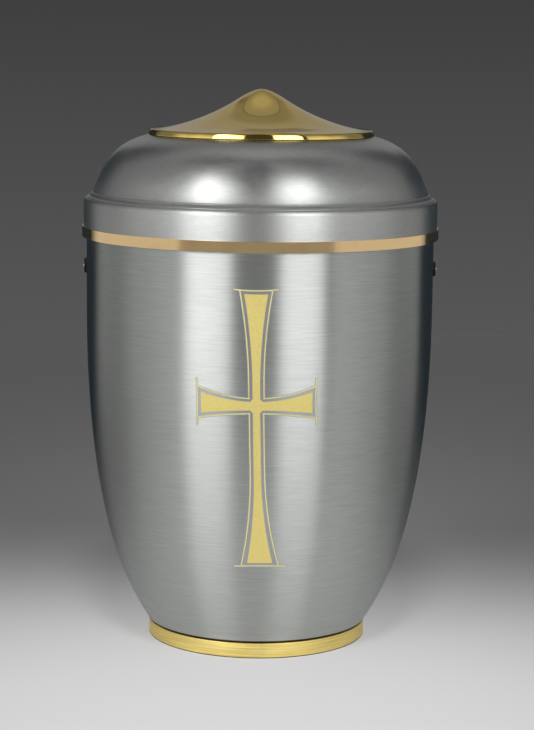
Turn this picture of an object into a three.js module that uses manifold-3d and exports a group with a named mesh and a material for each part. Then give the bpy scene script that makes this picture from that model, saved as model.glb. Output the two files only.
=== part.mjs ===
// Cremation urn: a spun steel vessel with a lift-off lid. A brass peak stands on the lid, a rose-gold
// band runs round the lid's rim and a brass ring round the foot. A gilt cross with a fine outline is on
// the front, and a black stud with a bright rivet is on each side.
// Millimetres, +Z up. The origin is the middle of the underside, and the cross faces -Y.
import * as THREE from 'three';
import { mergeVertices } from 'three/addons/utils/BufferGeometryUtils.js';
import Module from 'manifold-3d';

const wasm = await Module();
wasm.setup();

const at = (x, y) => new THREE.Vector2(x, y);

// Turned pieces
const FACETS = 48;
const SHEET = 1.0; // thickness of the spun metal
const FIT = 0.1; // clearance under a strip that is wrapped round a turned piece

// Body
const BODY_RADIUS = 95.1; // straight upper part of the side
const STRAIGHT_FROM = 182; // height where the side starts to draw in
const SIDE_FOOT = 10; // height where the side turns under
const TAPER = 24.2; // slow narrowing over the whole side
const TUCK = 9.7; // quick narrowing close to the foot
const TURN_UNDER = 0.9; // how far the turned edge runs in under the side
const BODY_TOP = 240.2;
const FOOT_RADIUS = 59.3;
const FOOT_HEIGHT = 9.1;
const FOOT_EDGE = 0.6; // bevel round the underside
const SIDE_STEPS = 9;
const SIDE_CROWDING = 1.25; // above 1, the steps are closer together near the foot, where the side bends most

// Brass ring round the foot
const RING_RADIUS = 60.3;
const RING_HEIGHT = 8.3;
const RING_EDGE = 0.4; // bevel round the top

// Lid: radius and height of the points that shape its profile
const SKIRT_RADIUS = 96.75;
const SKIRT_BOTTOM = 222;
const CORNER_FOOT = at(SKIRT_RADIUS, 240.2); // where the skirt starts to turn over to the ledge
const CORNER_PULL = at(96.65, 241.5);
const CORNER_TOP = at(94.85, 242.1);
const LEDGE_FOOT = at(92.6, 244.3);
const DOME_FOOT = at(91.75, 246.5);
const DOME_SIDE_PULL = at(87.3, 255.6);
const DOME_SHOULDER_PULL = at(84.9, 272.1);
const DOME_TOP = at(61, 277.4);
const DOME_STEPS = 7;

// Rose-gold band
const BAND_RADIUS = 97.5;
const BAND_BOTTOM = 222.2;
const BAND_TOP = 227.8;

// Brass peak on the lid
const PEAK_TOP = 302.4;
const PEAK_RIM_RADIUS = 61.15;
const PEAK_RIM_FOOT = at(61.05, DOME_TOP.y);
const PEAK_RIM_EDGE = 2.1; // height on the rim where its rounded top edge starts
const BRIM = at(60.2, DOME_TOP.y + 3);
const BEND = at(14.2, 296.2); // where the rounded tip passes into the hollow flare
const BEND_SLOPE = 0.64;
const TIP_TOP_PULL = 4;
const TIP_BEND_PULL = 4.4;
const FLARE_BEND_PULL = 13;
const FLARE_BRIM_PULL = at(-14.6, 0.9);
const FLARE_STEPS = 6;
const TIP_STEPS = 3;

// Side studs
const STUD_HEIGHT = 205;
const STUD_RADIUS = 4.1;
const STUD_THICKNESS = 1.0;
const STUD_ROUND = 0.3;
const RIVET_RADIUS = 1.9;
const RIVET_RISE = 0.55;
const RIVET_STEPS = 3;
const STUD_CLEARANCE = 0.15;
const STUD_FACETS = 16;

// Cross: a drawing laid on the side, p across and q up from the crossing of its axes
const CROSSING_HEIGHT = 143.2;
const CROSSING_ARC = -1.0; // along the girth from the front line
const LEAN = 0.0194; // the shaft leans a little, and the drawing bows with the curve of the side
const TILT = 0.006;
const SHAFT_BOW = 0.000114;
const ARM_BOW = 0.0016;
const STROKE = 0.6;
const LIMB_STEPS = 5;
// Half widths along the shaft and half heights along the arms, straight first and then flared to the end
const FIELD = {
  up: { half: 1.95, straight: 8.8, flare: 0.00172, end: 57.7 },
  down: { half: 1.87, straight: 36.2, flare: 0.00195, end: 85.3 },
  arm: { half: 2.2, straight: 0, flare: 0.004, end: 29.1 },
  chamfer: 1.4, // at the corner where shaft and arm meet
};
const OUTLINE = {
  up: { half: 3.9, straight: 10.8, flare: 0.0019, end: 59.8 },
  down: { half: 3.68, straight: 35, flare: 0.00225, end: 87.3 },
  arm: { half: 3.93, straight: 0, flare: 0.0045, end: 31.2 },
  chamfer: 0,
};
// End bars: distance from the crossing, half length, and how far the tips curve away from the cross
const TOP_BAR = { from: 59.5, half: 11.8, curl: 0.5 };
const BOTTOM_BAR = { from: 86.9, half: 13.6, curl: 0.75 };
const SIDE_BAR = { from: 30.95, half: 12.1, curl: 0.55 };
const BAR_STEPS = 2; // on each side of its middle

// The gilding is cut from a thin layer on the side, by prisms that run forwards through it
const GILT_GAP = 0.15;
const GILT_THICKNESS = 0.3;
const GILT_TOP = 220;
const CUT_FROM = 25; // in front of the axis
const CUT_DEPTH = 80;
const WELD = 1e-4; // vertices closer than this become one

const steel = new THREE.MeshStandardMaterial({ color: 0xb4b9b9, roughness: 0.36, metalness: 1 });
const polishedBrass = new THREE.MeshStandardMaterial({ color: 0xcdb36a, roughness: 0.12, metalness: 1 });
const brushedBrass = new THREE.MeshStandardMaterial({ color: 0xcfb55f, roughness: 0.38, metalness: 1 });
const roseGold = new THREE.MeshStandardMaterial({ color: 0xd3aa7a, roughness: 0.18, metalness: 1 });
const gilt = new THREE.MeshStandardMaterial({ color: 0xd9c576, roughness: 0.6, metalness: 0.7 });
const blackPlastic = new THREE.MeshStandardMaterial({ color: 0x141414, roughness: 0.35, metalness: 0 });
const brightSteel = new THREE.MeshStandardMaterial({ color: 0xd9dbdb, roughness: 0.1, metalness: 1 });

function addPiece(group, name, geometry, material) {
  const mesh = new THREE.Mesh(geometry, material);
  mesh.name = name;
  group.add(mesh);
  return mesh;
}

// A closed outline of radius and height, turned about Z
function turned(outline, facets = FACETS) {
  return new THREE.LatheGeometry(outline, facets).rotateX(Math.PI / 2);
}

function leftOf(from, to) {
  const way = to.clone().sub(from).normalize();
  return at(-way.y, way.x);
}

// The same line a distance to its left, with its bends mitred
function offsetLine(points, distance) {
  const normals = points.slice(1).map((point, k) => leftOf(points[k], point));
  return points.map((point, k) => {
    const before = normals[Math.max(k - 1, 0)];
    const after = normals[Math.min(k, normals.length - 1)];
    const mitre = before.clone().add(after).normalize();
    return point.clone().addScaledVector(mitre, distance / mitre.dot(before));
  });
}

// Closed outline of a sheet of even thickness inside an outer profile that starts on the axis and ends
// at a level rim. side is 1 where the metal lies left of the profile's direction, and -1 where right.
function sheetInside(profile, side) {
  const inner = offsetLine(profile, side * SHEET);
  inner[0].x = 0;
  inner.at(-1).y = profile.at(-1).y;
  return [...profile, ...inner.reverse()];
}

// Body: flat underside, a short foot inside the ring, and a side that swells to a straight neck
function sideRadius(z) {
  const drop = Math.max(0, (STRAIGHT_FROM - z) / (STRAIGHT_FROM - SIDE_FOOT));
  return BODY_RADIUS - TAPER * drop ** 2.2 - TUCK * drop ** 6;
}

function sideHeights() {
  const heights = [];
  for (let k = 0; k <= SIDE_STEPS; k += 1) {
    heights.push(SIDE_FOOT + (STRAIGHT_FROM - SIDE_FOOT) * (k / SIDE_STEPS) ** SIDE_CROWDING);
  }
  return heights;
}

function bodyGeometry() {
  const profile = [
    at(0, 0),
    at(FOOT_RADIUS - FOOT_EDGE, 0),
    at(FOOT_RADIUS, FOOT_EDGE),
    at(FOOT_RADIUS, FOOT_HEIGHT),
    at(sideRadius(SIDE_FOOT) - TURN_UNDER, FOOT_HEIGHT),
    ...sideHeights().map((z) => at(sideRadius(z), z)),
    at(BODY_RADIUS, BODY_TOP),
  ];
  return turned(sheetInside(profile, 1));
}

// Base ring: a brushed brass strip wrapped round the foot, a little lower than the body's turned edge
function baseRingGeometry() {
  const inside = FOOT_RADIUS + FIT;
  return turned([
    at(inside, 0),
    at(RING_RADIUS, 0),
    at(RING_RADIUS, RING_HEIGHT - RING_EDGE),
    at(RING_RADIUS - RING_EDGE, RING_HEIGHT),
    at(inside, RING_HEIGHT),
    at(inside, 0),
  ]);
}

// Lid: skirt over the body's neck, rounded corner, sloping ledge, low dome and a flat seat for the peak
function lidGeometry() {
  const dome = new THREE.CubicBezierCurve(DOME_FOOT, DOME_SIDE_PULL, DOME_SHOULDER_PULL, DOME_TOP);
  const corner = new THREE.QuadraticBezierCurve(CORNER_FOOT, CORNER_PULL, CORNER_TOP);
  const profile = [
    at(0, DOME_TOP.y),
    ...dome.getPoints(DOME_STEPS).reverse(),
    LEDGE_FOOT,
    ...corner.getPoints(2).reverse(),
    at(SKIRT_RADIUS, SKIRT_BOTTOM),
  ];
  return turned(sheetInside(profile, -1).reverse());
}

function lidBandGeometry() {
  const inside = SKIRT_RADIUS + FIT;
  return turned([
    at(inside, BAND_BOTTOM),
    at(BAND_RADIUS, BAND_BOTTOM),
    at(BAND_RADIUS, BAND_TOP),
    at(inside, BAND_TOP),
    at(inside, BAND_BOTTOM),
  ]);
}

// Peak: rounded tip, hollow flare, nearly level brim and a rim turned down onto the lid's flat top
function peakGeometry() {
  const tip = new THREE.CubicBezierCurve(
    at(0, PEAK_TOP),
    at(TIP_TOP_PULL, PEAK_TOP),
    at(BEND.x - TIP_BEND_PULL, BEND.y + TIP_BEND_PULL * BEND_SLOPE),
    BEND,
  );
  const flare = new THREE.CubicBezierCurve(
    BEND,
    at(BEND.x + FLARE_BEND_PULL, BEND.y - FLARE_BEND_PULL * BEND_SLOPE),
    BRIM.clone().add(FLARE_BRIM_PULL),
    BRIM,
  );
  const profile = [
    ...tip.getPoints(TIP_STEPS),
    ...flare.getPoints(FLARE_STEPS).slice(1),
    at(PEAK_RIM_RADIUS, DOME_TOP.y + PEAK_RIM_EDGE),
    PEAK_RIM_FOOT,
  ];
  return turned(sheetInside(profile, -1).reverse());
}

// Stud: a black washer with a rounded edge and a domed rivet head, turned about Z and laid on the side
function studWasherGeometry() {
  const profile = [
    at(0, 0),
    at(STUD_RADIUS, 0),
    at(STUD_RADIUS, STUD_THICKNESS - STUD_ROUND),
    at(STUD_RADIUS - STUD_ROUND, STUD_THICKNESS),
    at(0, STUD_THICKNESS),
  ];
  return turned(profile, STUD_FACETS);
}

function rivetGeometry() {
  const dome = new THREE.QuadraticBezierCurve(
    at(RIVET_RADIUS, 0),
    at(RIVET_RADIUS, RIVET_RISE),
    at(0, RIVET_RISE),
  );
  return turned([at(0, 0), ...dome.getPoints(RIVET_STEPS)], STUD_FACETS);
}

function stud(name, side) {
  const holder = new THREE.Group();
  holder.position.set(side * (BODY_RADIUS + STUD_CLEARANCE), 0, STUD_HEIGHT);
  holder.rotation.y = side * (Math.PI / 2);
  addPiece(holder, `stud_${name}`, studWasherGeometry(), blackPlastic);
  const rivet = addPiece(holder, `rivet_${name}`, rivetGeometry(), brightSteel);
  rivet.position.z = STUD_THICKNESS + STUD_CLEARANCE;
  return holder;
}

// A point of the cross's drawing on the body, as seen from straight in front
function onFront(p, q) {
  const z = CROSSING_HEIGHT + q + TILT * p + ARM_BOW * p * p;
  const arc = CROSSING_ARC + p - LEAN * q + SHAFT_BOW * q * q;
  const r = sideRadius(z);
  return at(r * Math.sin(arc / r), z);
}

// Points on one edge of a limb, from the crossing out to its end, as [along, away from the axis]
function edgeOf(limb, from) {
  const start = Math.max(from, limb.straight);
  const points = start > from ? [[from, limb.half]] : [];
  for (let k = 0; k <= LIMB_STEPS; k += 1) {
    const distance = start + ((limb.end - start) * k) / LIMB_STEPS;
    points.push([distance, limb.half + limb.flare * (distance - limb.straight) ** 2]);
  }
  return points;
}

// One quarter of the cross: in along the shaft from its end, round the corner and out along the arm
function quarter(drawing, sx, sy) {
  const shaft = sy > 0 ? drawing.up : drawing.down;
  const inwards = edgeOf(shaft, drawing.arm.half + drawing.chamfer).reverse();
  const outwards = edgeOf(drawing.arm, shaft.half + drawing.chamfer);
  if (drawing.chamfer === 0) {
    outwards.shift();
  }
  return [
    ...inwards.map(([q, p]) => [sx * p, sy * q]),
    ...outwards.map(([p, q]) => [sx * p, sy * q]),
  ];
}

function prism(outline) {
  const shape = new THREE.Shape(outline);
  const geometry = new THREE.ExtrudeGeometry(shape, { depth: CUT_DEPTH, bevelEnabled: false });
  return geometry.rotateX(Math.PI / 2).translate(0, -CUT_FROM, 0);
}

// A line of the drawing as a narrow strip of even width
function strip(line) {
  const points = line.map(([p, q]) => onFront(p, q));
  const left = offsetLine(points, STROKE / 2);
  const right = offsetLine(points, -STROKE / 2);
  return prism([...left, ...right.reverse()]);
}

// An end bar on the side of the crossing that (dp, dq) points to, its tips curving away
function endBar(bar, dp, dq) {
  const line = [];
  for (let k = -BAR_STEPS; k <= BAR_STEPS; k += 1) {
    const share = k / BAR_STEPS;
    const across = bar.half * share;
    const away = bar.from + bar.curl * share ** 2;
    line.push([dp * away + Math.abs(dq) * across, dq * away + Math.abs(dp) * across]);
  }
  return strip(line);
}

function toSolid(geometry) {
  const bare = geometry.clone();
  bare.deleteAttribute('normal');
  bare.deleteAttribute('uv');
  const merged = mergeVertices(bare, WELD);
  const mesh = new wasm.Mesh({
    numProp: 3,
    vertProperties: new Float32Array(merged.attributes.position.array),
    triVerts: new Uint32Array(merged.index.array),
  });
  return new wasm.Manifold(mesh);
}

function toGeometry(solid) {
  const mesh = solid.getMesh();
  const geometry = new THREE.BufferGeometry();
  geometry.setAttribute('position', new THREE.BufferAttribute(mesh.vertProperties, 3));
  geometry.setIndex(new THREE.BufferAttribute(mesh.triVerts, 1));
  geometry.computeVertexNormals();
  return geometry;
}

function giltLayer() {
  const heights = [...sideHeights().slice(1), GILT_TOP];
  const inside = heights.map((z) => at(sideRadius(z) + GILT_GAP, z));
  const outside = heights.map((z) => at(sideRadius(z) + GILT_GAP + GILT_THICKNESS, z));
  return toSolid(turned([inside[0], ...outside, ...inside.reverse()]));
}

function crossGeometry() {
  const outline = [
    ...quarter(FIELD, 1, 1),
    ...quarter(FIELD, 1, -1).reverse(),
    ...quarter(FIELD, -1, -1),
    ...quarter(FIELD, -1, 1).reverse(),
  ];
  const field = toSolid(prism(outline.map(([p, q]) => onFront(p, q))));
  return toGeometry(giltLayer().intersect(field));
}

function crossOutlineGeometry() {
  const strips = [
    endBar(TOP_BAR, 0, 1),
    endBar(BOTTOM_BAR, 0, -1),
    endBar(SIDE_BAR, 1, 0),
    endBar(SIDE_BAR, -1, 0),
  ];
  for (const sx of [1, -1]) {
    for (const sy of [1, -1]) {
      strips.push(strip(quarter(OUTLINE, sx, sy)));
    }
  }
  const joined = strips.map(toSolid).reduce((sum, one) => sum.add(one));
  return toGeometry(giltLayer().intersect(joined));
}

const urn = new THREE.Group();
urn.name = 'cremation_urn';
addPiece(urn, 'body', bodyGeometry(), steel);
addPiece(urn, 'base_ring', baseRingGeometry(), brushedBrass);
addPiece(urn, 'lid', lidGeometry(), steel);
addPiece(urn, 'lid_band', lidBandGeometry(), roseGold);
addPiece(urn, 'lid_peak', peakGeometry(), polishedBrass);
addPiece(urn, 'cross', crossGeometry(), gilt);
addPiece(urn, 'cross_outline', crossOutlineGeometry(), gilt);
urn.add(stud('left', -1), stud('right', 1));

export default urn;
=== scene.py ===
import math

import bmesh
import bpy
from mathutils import Matrix, Vector


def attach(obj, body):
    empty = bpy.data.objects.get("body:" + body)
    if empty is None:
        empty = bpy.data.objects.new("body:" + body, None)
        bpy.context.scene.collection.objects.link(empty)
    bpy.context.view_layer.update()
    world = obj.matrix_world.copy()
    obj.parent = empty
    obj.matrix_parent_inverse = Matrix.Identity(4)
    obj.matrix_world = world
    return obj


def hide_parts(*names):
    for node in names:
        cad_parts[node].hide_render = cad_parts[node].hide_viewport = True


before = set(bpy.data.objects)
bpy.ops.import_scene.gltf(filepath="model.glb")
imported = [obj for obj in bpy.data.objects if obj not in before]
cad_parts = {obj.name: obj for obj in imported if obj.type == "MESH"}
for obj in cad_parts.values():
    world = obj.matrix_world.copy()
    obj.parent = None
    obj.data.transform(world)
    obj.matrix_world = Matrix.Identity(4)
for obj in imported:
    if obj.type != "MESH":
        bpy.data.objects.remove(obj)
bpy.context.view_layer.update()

scene = bpy.context.scene
MM = 0.001  # the pieces are drawn in millimetres

# Camera: straight in front of the cross, a little above the urn and looking slightly down. The eye's
# height, distance and turn come from the ellipses of the rims, and the lens from their size.
IMAGE_LONG_SIDE = 730
FOCAL_PIXELS = 2161.84
EYE = Vector((0, -1185.75, 329.09)) * MM
LOOK_DOWN = 0.14954
LOOK_ASIDE = -0.00379
ROLL = 0.01143

eye = bpy.data.objects.new("camera", bpy.data.cameras.new("camera"))
eye.data.sensor_width = 36
eye.data.lens = eye.data.sensor_width * FOCAL_PIXELS / IMAGE_LONG_SIDE
eye.data.clip_start = 0.05
eye.data.clip_end = 100
turn_to_view = (
    Matrix.Rotation(LOOK_ASIDE, 4, "Z")
    @ Matrix.Rotation(math.pi / 2 - LOOK_DOWN, 4, "X")
    @ Matrix.Rotation(ROLL, 4, "Z")
)
eye.matrix_world = Matrix.Translation(EYE) @ turn_to_view
scene.collection.objects.link(eye)
scene.camera = eye
scene.view_settings.view_transform = "Standard"

# Body: a vessel spun from steel sheet, straight at the neck and drawn in to a short foot. Its outside
# is brushed round and round, so lights stand in it as tall stripes.
SHEET = 1.0
NECK_RADIUS = 95.1
NECK_TOP = 240.2
STRAIGHT_FROM = 182
SIDE_FOOT = 10
TAPER = 24.2
TAPER_POWER = 2.2
TUCK = 9.7
TUCK_POWER = 6
TURN_UNDER = 0.9
FOOT_RADIUS = 59.3
FOOT_HEIGHT = 9.1
FOOT_EDGE = 0.6
SEAM_RADIUS = 57.6
SEAM_BOTTOM = 7.6
SEAM_INNER_BOTTOM = 8.2
SEAM_SHADE_TOP = 9.6  # painted shade: the metal is darkened brown up to here, in the shadowed seam over the ring
SEAM_SHADE_FADE = 0.3
SEAM_SHADE_BROWN = (0.10, 0.06, 0.02, 1)
TURNS = 288
SIDE_STEPS = 72
SHARP_FROM = 32  # degrees between two faces
STEEL_DARK = (0.55, 0.568, 0.545, 1)
STEEL_LIGHT = (0.637, 0.658, 0.632, 1)
FOOT_SHADE_KEEPS = 0.79  # painted shade: share of its tone that the steel keeps at the foot, near the floor
FOOT_SHADE_BELOW = 15
FOOT_SHADE_ENDS = 150


def side_radius(z):
    """Outside radius of the body's side at a height."""
    drop = max(0.0, (STRAIGHT_FROM - z) / (STRAIGHT_FROM - SIDE_FOOT))
    return NECK_RADIUS - TAPER * drop**TAPER_POWER - TUCK * drop**TUCK_POWER


def arc(centre, radius, start, end, steps):
    """Points on an arc between two angles in degrees."""
    points = []
    for k in range(steps + 1):
        angle = math.radians(start + (end - start) * k / steps)
        points.append((centre[0] + radius * math.cos(angle), centre[1] + radius * math.sin(angle)))
    return points


def offset_line(points, distance):
    """The same line a distance to its left, with its bends mitred."""
    line = [Vector(point) for point in points]
    lefts = []
    for a, b in zip(line, line[1:]):
        way = (b - a).normalized()
        lefts.append(Vector((-way.y, way.x)))
    moved = []
    for k, point in enumerate(line):
        before = lefts[max(k - 1, 0)]
        after = lefts[min(k, len(lefts) - 1)]
        mitre = (before + after).normalized()
        moved.append(point + mitre * (distance / mitre.dot(before)))
    return moved


def sheet_inside(outside, plain, side):
    """Closed outline of sheet metal inside an outer profile that runs from the axis to a level rim. The
    inside follows a plainer line, without the outside's small roundings."""
    inside = offset_line(plain, side * SHEET)
    inside[0].x = 0
    inside[-1].y = outside[-1][1]
    return list(outside) + inside[::-1]


def turned(name, outline, turns=TURNS):
    """A piece turned about Z from a closed outline of radius and height."""
    maker = bmesh.new()
    rim = [maker.verts.new((r * MM, 0, z * MM)) for r, z in outline]
    starts_on_axis = abs(outline[0][0]) + abs(outline[-1][0]) < 1e-6
    pairs = zip(rim, rim[1:] if starts_on_axis else rim[1:] + rim[:1])
    edges = [maker.edges.new(pair) for pair in pairs]
    bmesh.ops.spin(
        maker, geom=rim + edges, axis=(0, 0, 1), cent=(0, 0, 0), angle=math.tau, steps=turns, use_merge=True
    )
    bmesh.ops.remove_doubles(maker, verts=maker.verts, dist=1e-7)
    return finished(name, maker)


def finished(name, maker):
    """A smooth-shaded object from a bmesh, sharp only where its faces meet at a clear angle."""
    bmesh.ops.dissolve_degenerate(maker, dist=1e-8, edges=maker.edges)
    bmesh.ops.recalc_face_normals(maker, faces=maker.faces)
    mesh = bpy.data.meshes.new(name)
    maker.to_mesh(mesh)
    maker.free()
    mesh.shade_smooth()
    mesh.set_sharp_from_angle(angle=math.radians(SHARP_FROM))
    piece = bpy.data.objects.new(name, mesh)
    scene.collection.objects.link(piece)
    return piece


def material(name, colour, metallic, roughness):
    """A new material as (material, node tree, shader)."""
    made = bpy.data.materials.new(name)
    made.use_nodes = True
    made.diffuse_color = colour
    shader = made.node_tree.nodes["Principled BSDF"]
    shader.inputs["Base Color"].default_value = colour
    shader.inputs["Metallic"].default_value = metallic
    shader.inputs["Roughness"].default_value = roughness
    return made, made.node_tree, shader


def add(tree, kind, settings=None, **sockets):
    """A shader node, with plain values or other nodes' outputs on its sockets."""
    made = tree.nodes.new("ShaderNode" + kind)
    for name, value in (settings or {}).items():
        setattr(made, name, value)
    for name, value in sockets.items():
        connect(tree, made.inputs[name.replace("_", " ")], value)
    return made


def connect(tree, socket, value):
    """Puts a plain value or another node's output on a socket."""
    if isinstance(value, bpy.types.NodeSocket):
        tree.links.new(value, socket)
    else:
        socket.default_value = value


def height_on(tree):
    """How high a point of the surface is, in metres."""
    place = add(tree, "TexCoord")
    return add(tree, "SeparateXYZ", Vector=place.outputs["Object"]).outputs["Z"]


def marks(tree, around, across, detail=2.0):
    """Noise from 0 to 1 with so many marks to the metre round the axis and up it."""
    place = add(tree, "TexCoord")
    stretch = add(tree, "Mapping", Vector=place.outputs["Object"], Scale=(around, around, across))
    return add(tree, "TexNoise", Vector=stretch.outputs["Vector"], Scale=1.0, Detail=detail).outputs["Fac"]


def tones(tree, value, dark, light, low=0.35, high=0.65):
    """Colour that passes from dark to light as a value passes from low to high."""
    ramp = add(tree, "ValToRGB", Fac=value)
    ramp.color_ramp.elements[0].position = low
    ramp.color_ramp.elements[0].color = dark
    ramp.color_ramp.elements[1].position = high
    ramp.color_ramp.elements[1].color = light
    return ramp.outputs["Color"]


def between(tree, value, least, most, low=0.3, high=0.7):
    """Number that passes from least to most as a value passes from low to high."""
    scaled = add(tree, "MapRange", Value=value, From_Min=low, From_Max=high, To_Min=least, To_Max=most)
    return scaled.outputs["Result"]


def mixed(tree, share, first, second):
    """Colour that passes from the first to the second as a share passes from 0 to 1."""
    made = add(tree, "Mix", {"data_type": "RGBA"})
    connect(tree, made.inputs["Factor"], share)
    connect(tree, made.inputs[6], first)  # this node's two colours go in at 6 and 7
    connect(tree, made.inputs[7], second)
    return made.outputs[2]


def dimmed(tree, colour, keeps):
    """A colour that keeps only a share of its tone."""
    made = add(tree, "VectorMath", {"operation": "SCALE"})
    connect(tree, made.inputs[0], colour)
    connect(tree, made.inputs["Scale"], keeps)
    return made.outputs["Vector"]


def bump(tree, height, depth):
    """Normal of a surface whose relief is depth metres deep."""
    return add(tree, "Bump", Height=height, Distance=depth, Strength=1.0).outputs["Normal"]


def brush_round(tree, shader, share):
    """Brushing round the axis: share from 0, even, to 1, all one way."""
    shader.inputs["Anisotropic"].default_value = share
    shader.inputs["Anisotropic Rotation"].default_value = 0.25
    tangent = add(tree, "Tangent", {"direction_type": "RADIAL", "axis": "Z"})
    connect(tree, shader.inputs["Tangent"], tangent.outputs["Tangent"])


def body_steel():
    made, tree, shader = material("brushed steel", STEEL_LIGHT, metallic=1, roughness=0.345)
    lines = marks(tree, around=70, across=2600, detail=3.0)
    uneven = marks(tree, around=40, across=2600)
    height = height_on(tree)
    # Painted shade: the steel is darker towards the foot.
    keeps = between(tree, height, FOOT_SHADE_KEEPS, 1.0, low=FOOT_SHADE_BELOW * MM, high=FOOT_SHADE_ENDS * MM)
    steel = dimmed(tree, tones(tree, lines, STEEL_DARK, STEEL_LIGHT), keeps)
    # Painted shade: the steel turns dark brown in the seam over the ring, where shadow falls.
    seam_shade = between(tree, height, 1.0, 0.0, low=SEAM_SHADE_TOP * MM, high=(SEAM_SHADE_TOP + SEAM_SHADE_FADE) * MM)
    connect(tree, shader.inputs["Base Color"], mixed(tree, seam_shade, steel, SEAM_SHADE_BROWN))
    connect(tree, shader.inputs["Roughness"], between(tree, uneven, 0.345, 0.365))
    connect(tree, shader.inputs["Normal"], bump(tree, lines, depth=1.2e-6))
    brush_round(tree, shader, share=0.97)
    return made


side = []
for k in range(SIDE_STEPS + 1):
    height = SIDE_FOOT + (STRAIGHT_FROM - SIDE_FOOT) * k / SIDE_STEPS
    side.append((side_radius(height), height))
neck = [(NECK_RADIUS, NECK_TOP)]
foot = [(0, 0), (FOOT_RADIUS - FOOT_EDGE, 0)]
foot += arc((FOOT_RADIUS - FOOT_EDGE, FOOT_EDGE), FOOT_EDGE, -90, 0, steps=4)[1:]
foot += [(FOOT_RADIUS, SEAM_BOTTOM), (SEAM_RADIUS, SEAM_INNER_BOTTOM), (SEAM_RADIUS, FOOT_HEIGHT)]
turn_under = arc((side_radius(SIDE_FOOT) - TURN_UNDER, SIDE_FOOT), TURN_UNDER, -90, 0, steps=5)[:-1]
square_foot = [(0, 0), (FOOT_RADIUS, 0), (FOOT_RADIUS, SEAM_BOTTOM), (SEAM_RADIUS, SEAM_INNER_BOTTOM)]
square_foot += [(SEAM_RADIUS, FOOT_HEIGHT), (side_radius(SIDE_FOOT), FOOT_HEIGHT)]
body = turned("urn_body", sheet_inside(foot + turn_under + side + neck, square_foot + side[1:] + neck, 1))
body.data.materials.append(body_steel())
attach(body, "root")
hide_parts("body")

# Base ring: a strip of brass wrapped round the foot and brushed along its length. It ends just short of the
# body's turned edge, which leaves a dark gap.
RING_RADIUS = 60.3
RING_INSIDE = 59.35
RING_HEIGHT = 8.3
RING_EDGE = 0.45
BRASS_DARK = (0.74, 0.57, 0.17, 1)
BRASS_LIGHT = (0.97, 0.79, 0.29, 1)
BRASS_CONTACT_SHADE = (0.05, 0.03, 0.012, 1)
CONTACT_SHADE_FULL = 0.26  # painted shade where the ring stands on the floor: the lower edge is dark up to here
CONTACT_SHADE_TOP = 0.65


def ring_brass():
    made, tree, shader = material("brushed brass", BRASS_LIGHT, metallic=1, roughness=0.42)
    scratches = marks(tree, around=40, across=2600)
    cloud = marks(tree, around=120, across=120)
    brass = tones(tree, scratches, BRASS_DARK, BRASS_LIGHT)
    # Painted shade: the ring's lower edge turns dark where it meets the floor.
    unshaded = between(tree, height_on(tree), 0.0, 1.0, low=CONTACT_SHADE_FULL * MM, high=CONTACT_SHADE_TOP * MM)
    connect(tree, shader.inputs["Base Color"], mixed(tree, unshaded, BRASS_CONTACT_SHADE, brass))
    connect(tree, shader.inputs["Roughness"], between(tree, cloud, 0.38, 0.5))
    connect(tree, shader.inputs["Normal"], bump(tree, scratches, depth=3e-6))
    return made


ring_outline = [(RING_INSIDE, 0), (RING_RADIUS, 0)]
ring_outline += arc((RING_RADIUS - RING_EDGE, RING_HEIGHT - RING_EDGE), RING_EDGE, 0, 90, steps=5)
ring_outline += [(RING_INSIDE, RING_HEIGHT)]
base_ring = turned("foot_ring", ring_outline)
base_ring.data.materials.append(ring_brass())
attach(base_ring, "root")
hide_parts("base_ring")

# Lid: spun from the same steel sheet, with a skirt that slips over the neck, a stepped ledge with fine
# turned lines, a low dome and a flat seat for the peak. It is finished satin, more evenly than the body.
SKIRT_RADIUS = 96.75
SKIRT_BOTTOM = 222
SKIRT_BEVEL = 0.3
CORNER_FOOT = (SKIRT_RADIUS, 240.8)
CORNER_PULL = (96.5, 243.0)
CORNER_TOP = (95.2, 243.3)
LEDGE_FOOT = (91.9, 246.2)
DOME_FOOT = (91.75, 246.5)
DOME_SIDE_PULL = (87.3, 255.6)
DOME_SHOULDER_PULL = (84.9, 272.1)
DOME_TOP = (61, 277.4)
GROOVES = (0.12, 0.85)  # the turned lines, as shares of the way down the ledge's outer edge
GROOVE_WIDTH = 0.7
GROOVE_DEPTH = 0.16
LID_DARK = (0.60, 0.613, 0.595, 1)
LID_LIGHT = (0.68, 0.694, 0.673, 1)
DOME_TOP_SHADE = 0.59  # painted shade under the peak: share of its tone that the steel keeps at the top of the dome
DOME_TOP_SHADE_FROM = 269
FOOT_FINISH = 249  # below this the dome is left rougher
DOME_FINISH = 257


def curve(pulls, steps):
    """Points on a Bezier curve of any order."""
    order = len(pulls) - 1
    points = []
    for k in range(steps + 1):
        t = k / steps
        weights = [math.comb(order, n) * (1 - t) ** (order - n) * t**n for n in range(order + 1)]
        points.append(tuple(sum(w * p[axis] for w, p in zip(weights, pulls)) for axis in (0, 1)))
    return points


def grooved(start, end, places):
    """A straight stretch with a small groove at each place, given as a share of its length."""
    start = Vector(start)
    way = Vector(end) - start
    inward = Vector((way.y, -way.x)).normalized()
    half = GROOVE_WIDTH / 2 / way.length
    points = []
    for place in places:
        points.append(start + way * (place - half))
        points.append(start + way * place - inward * GROOVE_DEPTH)
        points.append(start + way * (place + half))
    return [tuple(point) for point in points]


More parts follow.
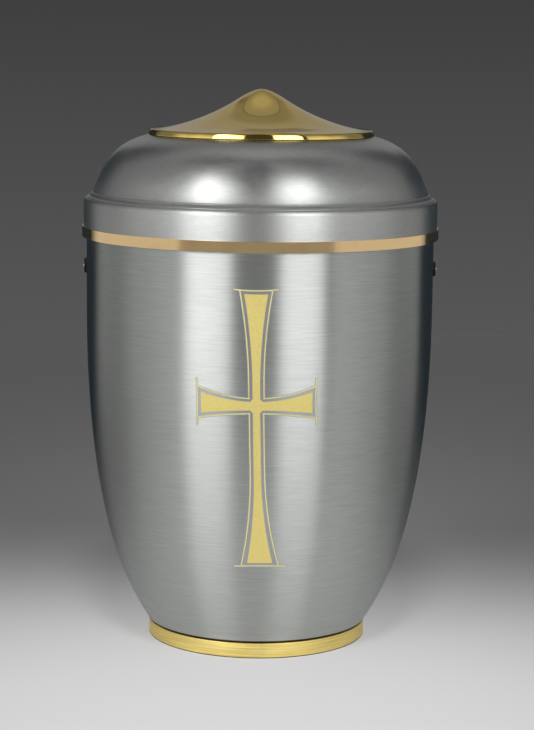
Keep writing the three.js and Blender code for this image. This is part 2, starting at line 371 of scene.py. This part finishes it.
def lid_steel(name, keeps, roughness, foot_roughness, share):
    """Steel that keeps a share of its tone, less where shade is painted near the dome's top, and is rougher
    at the dome's foot.
    """
    made, tree, shader = material(name, LID_LIGHT, metallic=1, roughness=roughness)
    grain = marks(tree, around=260, across=1900, detail=4.0)
    cloud = marks(tree, around=220, across=400)
    height = height_on(tree)
    steel = tones(tree, grain, LID_DARK, LID_LIGHT, low=0.3, high=0.7)
    # Painted shade: the steel darkens towards the top of the dome, under the peak.
    top_shade = between(tree, height, keeps, DOME_TOP_SHADE, low=DOME_TOP_SHADE_FROM * MM, high=DOME_TOP[1] * MM)
    smoother = between(tree, height, foot_roughness, roughness, low=FOOT_FINISH * MM, high=DOME_FINISH * MM)
    uneven = add(tree, "Math", {"operation": "ADD"})
    connect(tree, uneven.inputs[0], smoother)
    connect(tree, uneven.inputs[1], between(tree, cloud, -0.02, 0.02))
    connect(tree, shader.inputs["Base Color"], dimmed(tree, steel, top_shade))
    connect(tree, shader.inputs["Roughness"], uneven.outputs["Value"])
    connect(tree, shader.inputs["Normal"], bump(tree, grain, depth=2.5e-6))
    brush_round(tree, shader, share)
    return made


dome = [(0, DOME_TOP[1])]
dome += curve([DOME_TOP, DOME_SHOULDER_PULL, DOME_SIDE_PULL, DOME_FOOT], steps=48)
corner = curve([CORNER_TOP, CORNER_PULL, CORNER_FOOT], steps=8)
bevel = [(SKIRT_RADIUS, SKIRT_BOTTOM + SKIRT_BEVEL), (SKIRT_RADIUS - SKIRT_BEVEL, SKIRT_BOTTOM)]
plain_lid = dome + [LEDGE_FOOT] + corner + [(SKIRT_RADIUS, SKIRT_BOTTOM)]
grooved_lid = dome + [LEDGE_FOOT] + grooved(LEDGE_FOOT, CORNER_TOP, GROOVES) + corner + bevel
lid = turned("urn_lid", sheet_inside(grooved_lid, plain_lid, -1))
lid.data.materials.append(
    lid_steel("satin steel", keeps=1, roughness=0.3, foot_roughness=0.36, share=0.3)
)
lid.data.materials.append(
    lid_steel("brushed lid steel", keeps=0.91, roughness=0.42, foot_roughness=0.42, share=0.72)
)
for face in lid.data.polygons:
    if face.center.z < CORNER_TOP[1] * MM:
        face.material_index = 1
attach(lid, "root")
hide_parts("lid")

# Lid band: a narrow strip of bright rose-gold metal stuck round the lower edge of the skirt. It is
# polished, but not quite even.
BAND_INSIDE = 96.75
BAND_RADIUS = 97.5
BAND_BOTTOM = 222.2
BAND_TOP = 227.8
ROSE_DARK = (0.82, 0.54, 0.25, 1)
ROSE_LIGHT = (0.95, 0.68, 0.35, 1)


def band_metal():
    made, tree, shader = material("rose gold strip", ROSE_LIGHT, metallic=1, roughness=0.12)
    mottle = marks(tree, around=60, across=60)
    cloud = marks(tree, around=300, across=300)
    dents = marks(tree, around=90, across=90)
    connect(tree, shader.inputs["Base Color"], tones(tree, mottle, ROSE_DARK, ROSE_LIGHT, low=0.1, high=0.5))
    connect(tree, shader.inputs["Roughness"], between(tree, cloud, 0.09, 0.15))
    connect(tree, shader.inputs["Normal"], bump(tree, dents, depth=4e-6))
    return made


band_outline = [
    (BAND_INSIDE, BAND_BOTTOM),
    (BAND_RADIUS, BAND_BOTTOM),
    (BAND_RADIUS, BAND_TOP),
    (BAND_INSIDE, BAND_TOP),
]
band = turned("rose_gold_band", band_outline)
band.data.materials.append(band_metal())
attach(band, "root")
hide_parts("lid_band")

# Peak: spun brass, hollow underneath, with a rounded tip that flares out to a nearly level brim. Its rim
# is turned down onto the lid's flat top, and all of it is polished.
PEAK_TOP = 302.4
BEND = (14.2, 296.2)
BEND_SLOPE = 0.64
TIP_TOP_PULL = 4
TIP_BEND_PULL = 4.4
FLARE_BEND_PULL = 13
BRIM = (60.1, 280.55)
BRIM_PULL = (45.6, 281.3)
RIM_SHOULDER_PULL = (60.9, 280.5)
RIM_SIDE_PULL = (61.1, 279.2)
RIM_BOTTOM = (61.4, 277.7)
RIM_SQUARE_TOP = 280.45  # the inside's plain line turns down here
PEAK_FOOT = (61.0, 277.42)
GOLD = (0.93, 0.69, 0.21, 1)
GOLD_DULL = (0.87, 0.63, 0.18, 1)


def peak_brass():
    made, tree, shader = material("polished brass", GOLD, metallic=1, roughness=0.06)
    cloud = marks(tree, around=60, across=60)
    haze = marks(tree, around=200, across=200)
    dents = marks(tree, around=40, across=40)
    connect(tree, shader.inputs["Base Color"], tones(tree, cloud, GOLD_DULL, GOLD))
    connect(tree, shader.inputs["Roughness"], between(tree, haze, 0.04, 0.08))
    connect(tree, shader.inputs["Normal"], bump(tree, dents, depth=4e-6))
    return made


above_bend = (BEND[0] - TIP_BEND_PULL, BEND[1] + TIP_BEND_PULL * BEND_SLOPE)
below_bend = (BEND[0] + FLARE_BEND_PULL, BEND[1] - FLARE_BEND_PULL * BEND_SLOPE)
tip = curve([(0, PEAK_TOP), (TIP_TOP_PULL, PEAK_TOP), above_bend, BEND], steps=20)
flare = curve([BEND, below_bend, BRIM_PULL, BRIM], steps=40)
rim = curve([BRIM, RIM_SHOULDER_PULL, RIM_SIDE_PULL, RIM_BOTTOM], steps=12)[1:]
hem = curve([RIM_BOTTOM, (RIM_BOTTOM[0], PEAK_FOOT[1]), PEAK_FOOT], steps=4)[1:]
square_rim = [(RIM_BOTTOM[0], RIM_SQUARE_TOP), (RIM_BOTTOM[0], PEAK_FOOT[1])]
peak = turned("brass_peak", sheet_inside(tip + flare[1:] + rim + hem, tip + flare[1:-1] + square_rim, -1))
peak.data.materials.append(peak_brass())
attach(peak, "root")
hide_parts("lid_peak")

# Side studs: a black washer on each side of the body, under the lid, held by a rivet with a bright
# domed head.
STUD_HEIGHT = 205
STUD_RADIUS = 4.1
STUD_THICKNESS = 1.6
STUD_ROUND = 0.35
STUD_SUNK = 0.15
RIVET_RADIUS = 1.9
RIVET_RISE = 0.8
RIVET_SUNK = 0.05
BLACK = (0.006, 0.006, 0.006, 1)
BLACK_WORN = (0.015, 0.015, 0.016, 1)
BRIGHT = (0.90, 0.90, 0.89, 1)
BRIGHT_DULL = (0.80, 0.80, 0.79, 1)


def washer_black():
    made, tree, shader = material("black washer", BLACK, metallic=0, roughness=0.6)
    shader.inputs["Specular IOR Level"].default_value = 0.15
    grain = marks(tree, around=1500, across=1500)
    connect(tree, shader.inputs["Base Color"], tones(tree, grain, BLACK, BLACK_WORN, low=0.5, high=0.8))
    connect(tree, shader.inputs["Roughness"], between(tree, grain, 0.55, 0.7))
    connect(tree, shader.inputs["Normal"], bump(tree, grain, depth=1e-5))
    return made


def rivet_steel():
    made, tree, shader = material("bright rivet", BRIGHT, metallic=1, roughness=0.25)
    grain = marks(tree, around=900, across=900)
    connect(tree, shader.inputs["Base Color"], tones(tree, grain, BRIGHT_DULL, BRIGHT))
    connect(tree, shader.inputs["Roughness"], between(tree, grain, 0.2, 0.32))
    connect(tree, shader.inputs["Normal"], bump(tree, grain, depth=5e-6))
    return made


washer_outline = [(0, 0), (STUD_RADIUS, 0)]
washer_outline += arc((STUD_RADIUS - STUD_ROUND, STUD_THICKNESS - STUD_ROUND), STUD_ROUND, 0, 90, steps=5)
washer_outline += [(0, STUD_THICKNESS)]
rivet_outline = [(0, 0)]
rivet_outline += curve([(RIVET_RADIUS, 0), (RIVET_RADIUS, RIVET_RISE), (0, RIVET_RISE)], steps=10)
washer_finish = washer_black()
rivet_finish = rivet_steel()
for name, way in (("left", -1), ("right", 1)):
    stands_on = Matrix.Translation(Vector((way * (NECK_RADIUS - STUD_SUNK), 0, STUD_HEIGHT)) * MM)
    turned_out = stands_on @ Matrix.Rotation(way * math.pi / 2, 4, "Y")
    on_washer = Matrix.Translation(Vector((0, 0, STUD_THICKNESS - RIVET_SUNK)) * MM)
    washer = turned("washer_" + name, washer_outline, turns=48)
    washer.data.transform(turned_out)
    washer.data.materials.append(washer_finish)
    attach(washer, "root")
    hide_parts("stud_" + name)
    head = turned("rivet_head_" + name, rivet_outline, turns=40)
    head.data.transform(turned_out @ on_washer)
    head.data.materials.append(rivet_finish)
    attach(head, "root")
    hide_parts("rivet_" + name)

# Cross: gilding laid on the steel in one field with flared limbs. The drawing is p across and q up from
# the crossing of its axes, in millimetres on the side, and it leans and bows a little.
CROSSING_HEIGHT = 143.2
CROSSING_ARC = -1.0
LEAN = 0.0194
TILT = 0.006
SHAFT_BOW = 0.000114
ARM_BOW = 0.0016
# Each limb: half its width, how far out it stays straight, how fast it flares and where it ends
FIELD = {
    "up": (1.95, 8.8, 0.00172, 57.7),
    "down": (1.87, 36.2, 0.00195, 85.3),
    "arm": (2.2, 0, 0.004, 29.1),
    "chamfer": 1.4,
}
LIMB_STEPS = 14
CELL = 1.5  # the drawing is cut into cells this wide, so that it follows the side
CELL_SHIFT = 0.37  # keeps the cuts off the drawing's own lines
GILT_HEIGHT = 0.09
SUNK = -0.08
GILT_DARK = (0.86, 0.71, 0.25, 1)
GILT_LIGHT = (0.98, 0.84, 0.33, 1)


def on_side(p, q, height):
    """Point on the body's side for a place in the drawing, so high above the steel."""
    z = CROSSING_HEIGHT + q + TILT * p + ARM_BOW * p * p
    radius = side_radius(z)
    angle = (CROSSING_ARC + p - LEAN * q + SHAFT_BOW * q * q) / radius
    slope = side_radius(z + 0.5) - side_radius(z - 0.5)  # over one millimetre
    steep = math.hypot(1, slope)
    out = radius + height / steep
    return Vector((out * math.sin(angle), -out * math.cos(angle), z - height * slope / steep)) * MM


def edge_of(limb, start):
    """Points on one edge of a limb as (along, away from the axis), from near the crossing to its end."""
    half, straight, flare_rate, end = limb
    first = max(start, straight)
    points = [(start, half)] if first > start else []
    for k in range(LIMB_STEPS + 1):
        along = first + (end - first) * k / LIMB_STEPS
        points.append((along, half + flare_rate * (along - straight) ** 2))
    return points


def quarter(drawing, sx, sy):
    """In along the shaft from its end, round the corner and out along the arm."""
    shaft = drawing["up"] if sy > 0 else drawing["down"]
    chamfer = drawing["chamfer"]
    inwards = edge_of(shaft, drawing["arm"][0] + chamfer)[::-1]
    outwards = edge_of(drawing["arm"], shaft[0] + chamfer)
    if chamfer == 0:
        outwards = outwards[1:]
    return [(sx * p, sy * q) for q, p in inwards] + [(sx * p, sy * q) for p, q in outwards]


def all_quarters(drawing):
    """Closed outline of a whole cross."""
    right = quarter(drawing, 1, 1) + quarter(drawing, 1, -1)[::-1]
    left = quarter(drawing, -1, -1) + quarter(drawing, -1, 1)[::-1]
    return right + left


def flat_slab(name, outline, low, high):
    """A flat prism in the drawing's plane."""
    maker = bmesh.new()
    face = maker.faces.new([maker.verts.new((p, q, low)) for p, q in outline])
    grown = bmesh.ops.extrude_face_region(maker, geom=[face])["geom"]
    raised = [v for v in grown if isinstance(v, bmesh.types.BMVert)]
    bmesh.ops.translate(maker, verts=raised, vec=(0, 0, high - low))
    bmesh.ops.recalc_face_normals(maker, faces=maker.faces)
    mesh = bpy.data.meshes.new(name)
    maker.to_mesh(mesh)
    maker.free()
    slab = bpy.data.objects.new(name, mesh)
    scene.collection.objects.link(slab)
    return slab


def joined(slabs):
    """The mesh of one slab, or of several that overlap. The slabs themselves are cleared away."""
    first, *others = slabs
    for other in others:
        union = first.modifiers.new("union", "BOOLEAN")
        union.operation = "UNION"
        union.solver = "EXACT"
        union.object = other
    depsgraph = bpy.context.evaluated_depsgraph_get()
    mesh = bpy.data.meshes.new_from_object(first.evaluated_get(depsgraph))
    for slab in slabs:
        bpy.data.objects.remove(slab)
    return mesh


def laid_on_side(name, mesh):
    """The flat drawing cut into cells and bent onto the body's side."""
    maker = bmesh.new()
    maker.from_mesh(mesh)
    for axis in (0, 1):
        spots = [v.co[axis] for v in maker.verts]
        first = math.ceil(min(spots) / CELL)
        last = math.floor(max(spots) / CELL)
        for k in range(first, last + 1):
            where = [0, 0, 0]
            where[axis] = (k + CELL_SHIFT) * CELL
            across = [0, 0, 0]
            across[axis] = 1
            geometry = maker.verts[:] + maker.edges[:] + maker.faces[:]
            bmesh.ops.bisect_plane(maker, geom=geometry, plane_co=where, plane_no=across, dist=1e-5)
    for vertex in maker.verts:
        vertex.co = on_side(*vertex.co)
    return finished(name, maker)


def gilding(name, dark, light):
    made, tree, shader = material(name, light, metallic=1, roughness=0.55)
    grain = marks(tree, around=2200, across=2200, detail=3.0)
    connect(tree, shader.inputs["Base Color"], tones(tree, grain, dark, light))
    connect(tree, shader.inputs["Roughness"], between(tree, grain, 0.5, 0.62))
    connect(tree, shader.inputs["Normal"], bump(tree, grain, depth=6e-5))
    return made


field = laid_on_side("gilt_cross", joined([flat_slab("field", all_quarters(FIELD), SUNK, GILT_HEIGHT)]))
field.data.materials.append(gilding("gilding", GILT_DARK, GILT_LIGHT))
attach(field, "root")
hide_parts("cross")

# Fine line: a thin stroke of brighter gilding round the cross, in four quarters that meet at the end
# bars. The bars' tips curl a little away from the cross.
OUTLINE = {
    "up": (3.9, 10.8, 0.0019, 59.8),
    "down": (3.68, 35, 0.00225, 87.3),
    "arm": (3.93, 0, 0.0045, 31.2),
    "chamfer": 0,
}
# Each end bar: distance from the crossing, half length, how far its tips curl away, and its direction
BARS = [
    (59.5, 11.8, 0.5, (0, 1)),
    (86.9, 13.6, 0.75, (0, -1)),
    (30.95, 12.1, 0.55, (1, 0)),
    (30.95, 12.1, 0.55, (-1, 0)),
]
BAR_STEPS = 10
STROKE = 0.6
LINE_DARK = (0.94, 0.83, 0.36, 1)
LINE_LIGHT = (1.0, 0.92, 0.46, 1)


def strip(line, width):
    """Outline of a stroke of even width along a line."""
    left = offset_line(line, width / 2)
    right = offset_line(line, -width / 2)
    return [tuple(point) for point in left + right[::-1]]


def bar(distance, half, curl, direction, extra=0.0):
    """Middle line of an end bar, its tips curling away from the cross."""
    dp, dq = direction
    line = []
    for k in range(-BAR_STEPS, BAR_STEPS + 1):
        share = k / BAR_STEPS
        across = (half + extra) * share
        away = distance + curl * share**2
        line.append((dp * away + abs(dq) * across, dq * away + abs(dp) * across))
    return line


strokes = [strip(quarter(OUTLINE, sx, sy), STROKE) for sx in (1, -1) for sy in (1, -1)]
strokes += [strip(bar(*each), STROKE) for each in BARS]
line_slabs = [flat_slab(f"stroke_{n}", each, SUNK, GILT_HEIGHT) for n, each in enumerate(strokes)]
fine_line = laid_on_side("gilt_outline", joined(line_slabs))
fine_line.data.materials.append(gilding("bright gilding", LINE_DARK, LINE_LIGHT))
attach(fine_line, "root")
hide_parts("cross_outline")

# Etched border: under the cross and the fine line the steel is etched to a grey, which shows between
# them and as a narrow border outside the line.
ETCHED_MARGIN = 0.4
ETCHED_HEIGHT = 0.03
ETCHED_DARK = (0.40, 0.415, 0.43, 1)
ETCHED_LIGHT = (0.49, 0.505, 0.525, 1)


def etched_steel():
    made, tree, shader = material("etched steel", ETCHED_LIGHT, metallic=1, roughness=0.4)
    grain = marks(tree, around=2600, across=2600, detail=3.0)
    connect(tree, shader.inputs["Base Color"], tones(tree, grain, ETCHED_DARK, ETCHED_LIGHT))
    connect(tree, shader.inputs["Roughness"], between(tree, grain, 0.41, 0.46))
    connect(tree, shader.inputs["Normal"], bump(tree, grain, depth=4e-6))
    brush_round(tree, shader, share=0.6)
    return made


border_width = STROKE + 2 * ETCHED_MARGIN
borders = [all_quarters(OUTLINE)]
borders += [strip(quarter(OUTLINE, sx, sy), border_width) for sx in (1, -1) for sy in (1, -1)]
borders += [strip(bar(*each, extra=ETCHED_MARGIN), border_width) for each in BARS]
border_slabs = [flat_slab(f"border_{n}", each, SUNK, ETCHED_HEIGHT) for n, each in enumerate(borders)]
etched = laid_on_side("etched_border", joined(border_slabs))
etched.data.materials.append(etched_steel())
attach(etched, "root")

# Floor: a round table covered with matt grey paper, with painted shade that makes it a little darker far
# from the urn. It lies just under the foot.
FLOOR_RADIUS = 1300
FLOOR_DROP = 0.05
PAPER_LIT_NEAR = (0.25, 0.25, 0.253, 1)
PAPER_SHADED_FAR = (0.19, 0.19, 0.193, 1)


def paper():
    made, tree, shader = material("matt paper", PAPER_LIT_NEAR, metallic=0, roughness=0.9)
    shader.inputs["Specular IOR Level"].default_value = 0.1
    place = add(tree, "TexCoord")
    away = add(tree, "VectorMath", {"operation": "LENGTH"})
    connect(tree, away.inputs[0], place.outputs["Object"])
    # Painted shade: the paper darkens away from the urn, where less light falls.
    colour = tones(tree, away.outputs["Value"], PAPER_LIT_NEAR, PAPER_SHADED_FAR, low=0.3, high=0.95)
    fibres = marks(tree, around=300, across=300)
    connect(tree, shader.inputs["Base Color"], colour)
    connect(tree, shader.inputs["Roughness"], between(tree, fibres, 0.85, 0.95))
    return made


maker = bmesh.new()
bmesh.ops.create_circle(maker, cap_ends=True, segments=256, radius=FLOOR_RADIUS * MM)
floor = finished("floor", maker)
floor.location.z = -FLOOR_DROP * MM
floor.data.materials.append(paper())

# Lamp over the floor: a narrow spot that makes a pale pool on the paper round the urn and in front of
# it. It casts no shadow, and the metal doesn't reflect it. Both lamps are placed in metres.
POOL_MIDDLE = -0.24
POOL_RADIUS = 0.46
POOL_LAMP_HEIGHT = 2.4
POOL_LAMP_POWER = 450
lamp = bpy.data.lights.new("pool_lamp", "SPOT")
lamp.energy = POOL_LAMP_POWER
lamp.spot_size = 2 * math.atan(POOL_RADIUS / POOL_LAMP_HEIGHT)
lamp.spot_blend = 1
lamp.shadow_soft_size = 0.12
lamp.use_shadow = False
pool_lamp = bpy.data.objects.new("pool_lamp", lamp)
pool_lamp.location = (0, POOL_MIDDLE, POOL_LAMP_HEIGHT)
pool_lamp.visible_camera = False
pool_lamp.visible_glossy = False
scene.collection.objects.link(pool_lamp)

# Key lamp: a wider, weaker spot high in front that leaves a faint soft shadow behind the urn. The
# metal doesn't reflect it either.
KEY_FROM = Vector((0, -1.3, 2.2))
KEY_TO = Vector((0, -0.1, 0))
KEY_POOL_RADIUS = 0.62
KEY_LAMP_POWER = 90
lamp = bpy.data.lights.new("key_lamp", "SPOT")
lamp.energy = KEY_LAMP_POWER
lamp.spot_size = 2 * math.atan(KEY_POOL_RADIUS / (KEY_TO - KEY_FROM).length)
lamp.spot_blend = 1
lamp.shadow_soft_size = 0.2
key_lamp = bpy.data.objects.new("key_lamp", lamp)
key_lamp.location = KEY_FROM
key_lamp.rotation_euler = (KEY_TO - KEY_FROM).to_track_quat("-Z", "Y").to_euler()
key_lamp.visible_camera = False
key_lamp.visible_glossy = False
scene.collection.objects.link(key_lamp)

# Black cards: one on each side behind the urn, just out of the picture. They give the steel its dark
# edges. Only reflections show them.
CARD_INNER = (210, 460)
CARD_OUTER = {"left": (385, 335), "right": (470, 300)}
CARD_BOTTOM = 1
CARD_TOP = 420
CARD_BLUE = (0.012, 0.022, 0.032, 1)
CARD_FADED = (0.016, 0.028, 0.04, 1)


def black_card():
    made, tree, shader = material("black card", CARD_BLUE, metallic=0, roughness=0.9)
    grain = marks(tree, around=300, across=300)
    connect(tree, shader.inputs["Base Color"], tones(tree, grain, CARD_BLUE, CARD_FADED))
    connect(tree, shader.inputs["Roughness"], between(tree, grain, 0.85, 0.95))
    connect(tree, shader.inputs["Normal"], bump(tree, grain, depth=1e-4))
    return made


card_finish = black_card()
for name, way in (("left", -1), ("right", 1)):
    maker = bmesh.new()
    corners = []
    for x, y in (CARD_INNER, CARD_OUTER[name]):
        corners.append((way * x * MM, y * MM, CARD_BOTTOM * MM))
        corners.insert(0, (way * x * MM, y * MM, CARD_TOP * MM))
    maker.faces.new([maker.verts.new(corner) for corner in corners])
    card = finished("card_" + name, maker)
    card.data.materials.append(card_finish)
    card.visible_camera = False
    card.visible_diffuse = False
    card.visible_shadow = False

# Studio: two tall softboxes in front with a dark gap between them where the camera stands, lit walls at
# the sides, a ceiling panel and a dim back. Directions are in degrees: aside from the camera's side,
# to the right, and up from level. Softness is half the width of an edge.
STUDIO_TURN = 1.5  # the walls stand turned this far to the camera's left
SLANT = 0.6  # the left softbox's soft top slopes down to the right, this much for each degree aside
SLANT_MIDDLE = 34.0

studio = bpy.data.worlds.new("studio")
scene.world = studio
studio.use_nodes = True
tree = studio.node_tree
place = add(tree, "TexCoord")
direction = add(tree, "SeparateXYZ", Vector=place.outputs["Generated"])


def figure(operation, first, second=0.0):
    """Result of a sum on one or two values."""
    made = add(tree, "Math", {"operation": operation})
    connect(tree, made.inputs[0], first)
    connect(tree, made.inputs[1], second)
    return made.outputs["Value"]


def past(value, edge, softness):
    """0 before an edge and 1 after it."""
    step = add(tree, "MapRange", {"interpolation_type": "SMOOTHSTEP"}, Value=value)
    step.inputs["From Min"].default_value = edge - softness
    step.inputs["From Max"].default_value = edge + softness
    return step.outputs["Result"]


def within(value, start, end, start_softness, end_softness):
    """1 between two edges and 0 outside them."""
    return figure("SUBTRACT", past(value, start, start_softness), past(value, end, end_softness))


def glow(level, across, height):
    """Light of one level where both shares are 1."""
    return figure("MULTIPLY", figure("MULTIPLY", across, height), level)


front = figure("MULTIPLY", direction.outputs["Y"], -1.0)
aside = figure("DEGREES", figure("ARCTAN2", direction.outputs["X"], front))
off_middle = figure("ABSOLUTE", figure("ADD", aside, STUDIO_TURN))
up = figure("DEGREES", figure("ARCSINE", direction.outputs["Z"]))
slanted = figure("ADD", up, figure("MULTIPLY", figure("ADD", aside, SLANT_MIDDLE), SLANT))
below_slant = figure("MULTIPLY", past(up, 4, 4), figure("SUBTRACT", 1.0, past(slanted, 36, 22)))
not_over_left = figure("SUBTRACT", 1.0, within(aside, -51, 13, 2, 2))
glows = [
    # The left softbox, the right one and the gap between them
    glow(4.6, within(aside, -51, -18.5, 1.4, 2), below_slant),
    glow(4.1, within(aside, 13.5, 43, 2, 2), within(up, 4, 39, 4, 24)),
    glow(0.05, within(aside, -19, 13, 1, 1), within(up, 0, 62, 3, 15)),
    # The wall over the softboxes
    glow(0.28, within(off_middle, 18, 52, 4, 6), within(up, 60, 84, 8, 8)),
    # The side walls, brighter low down and beside the softboxes
    glow(0.66, within(off_middle, 50, 95, 2, 12), within(up, 0, 18, 2, 12)),
    glow(0.24, within(off_middle, 50, 74, 2, 8), within(up, 0, 32, 2, 12)),
    glow(0.20, within(off_middle, 50, 132, 2, 10), within(up, 0, 60, 3, 10)),
    # Below level, at the sides and in front
    glow(0.60, within(off_middle, 50, 132, 2, 8), within(up, -90, 0, 1, 2)),
    glow(0.31, within(aside, -51, 49, 1, 1), within(up, -90, 0, 1, 2)),
    # The ceiling, except over the left softbox and the gap, and its panel at the back
    glow(0.09, not_over_left, past(up, 60, 10)),
    glow(0.24, past(off_middle, 130, 30), past(up, 48.5, 1)),
    glow(0.09, past(off_middle, 130, 30), past(up, 58, 4)),
    # The back wall, its top, a dark patch in its middle, and the rest of the back
    glow(0.25, past(off_middle, 158, 4), within(up, 4, 38, 4, 4)),
    glow(0.18, past(off_middle, 150, 12), within(up, 38, 48, 4, 1)),
    glow(-0.10, past(off_middle, 176.8, 0.8), within(up, 20, 29, 1.5, 1.5)),
    glow(0.05, past(off_middle, 132, 3), within(up, 0, 60, 3, 8)),
]
light = glows[0]
for each in glows[1:]:
    light = figure("ADD", light, each)

# Backdrop: what the camera sees behind the urn, plain grey paper with painted shade that darkens it
# upwards. Reflections and light come from the studio instead.
BACKDROP_LIT_LOW = (0.093, 0.093, 0.096, 1)
BACKDROP_SHADED_HIGH = (0.050, 0.050, 0.052, 1)
DARKENS_FROM = -7.4  # degrees up from level
DARKENS_TO = 1.0

rise = add(tree, "MapRange", Value=up, From_Min=DARKENS_FROM, From_Max=DARKENS_TO)
# Painted shade: the backdrop's grey darkens upwards, away from the light.
grey = tones(tree, rise.outputs["Result"], BACKDROP_LIT_LOW, BACKDROP_SHADED_HIGH, low=0.0, high=1.0)
ray = add(tree, "LightPath")
seen = mixed(tree, ray.outputs["Is Camera Ray"], light, grey)
connect(tree, tree.nodes["Background"].inputs["Color"], seen)
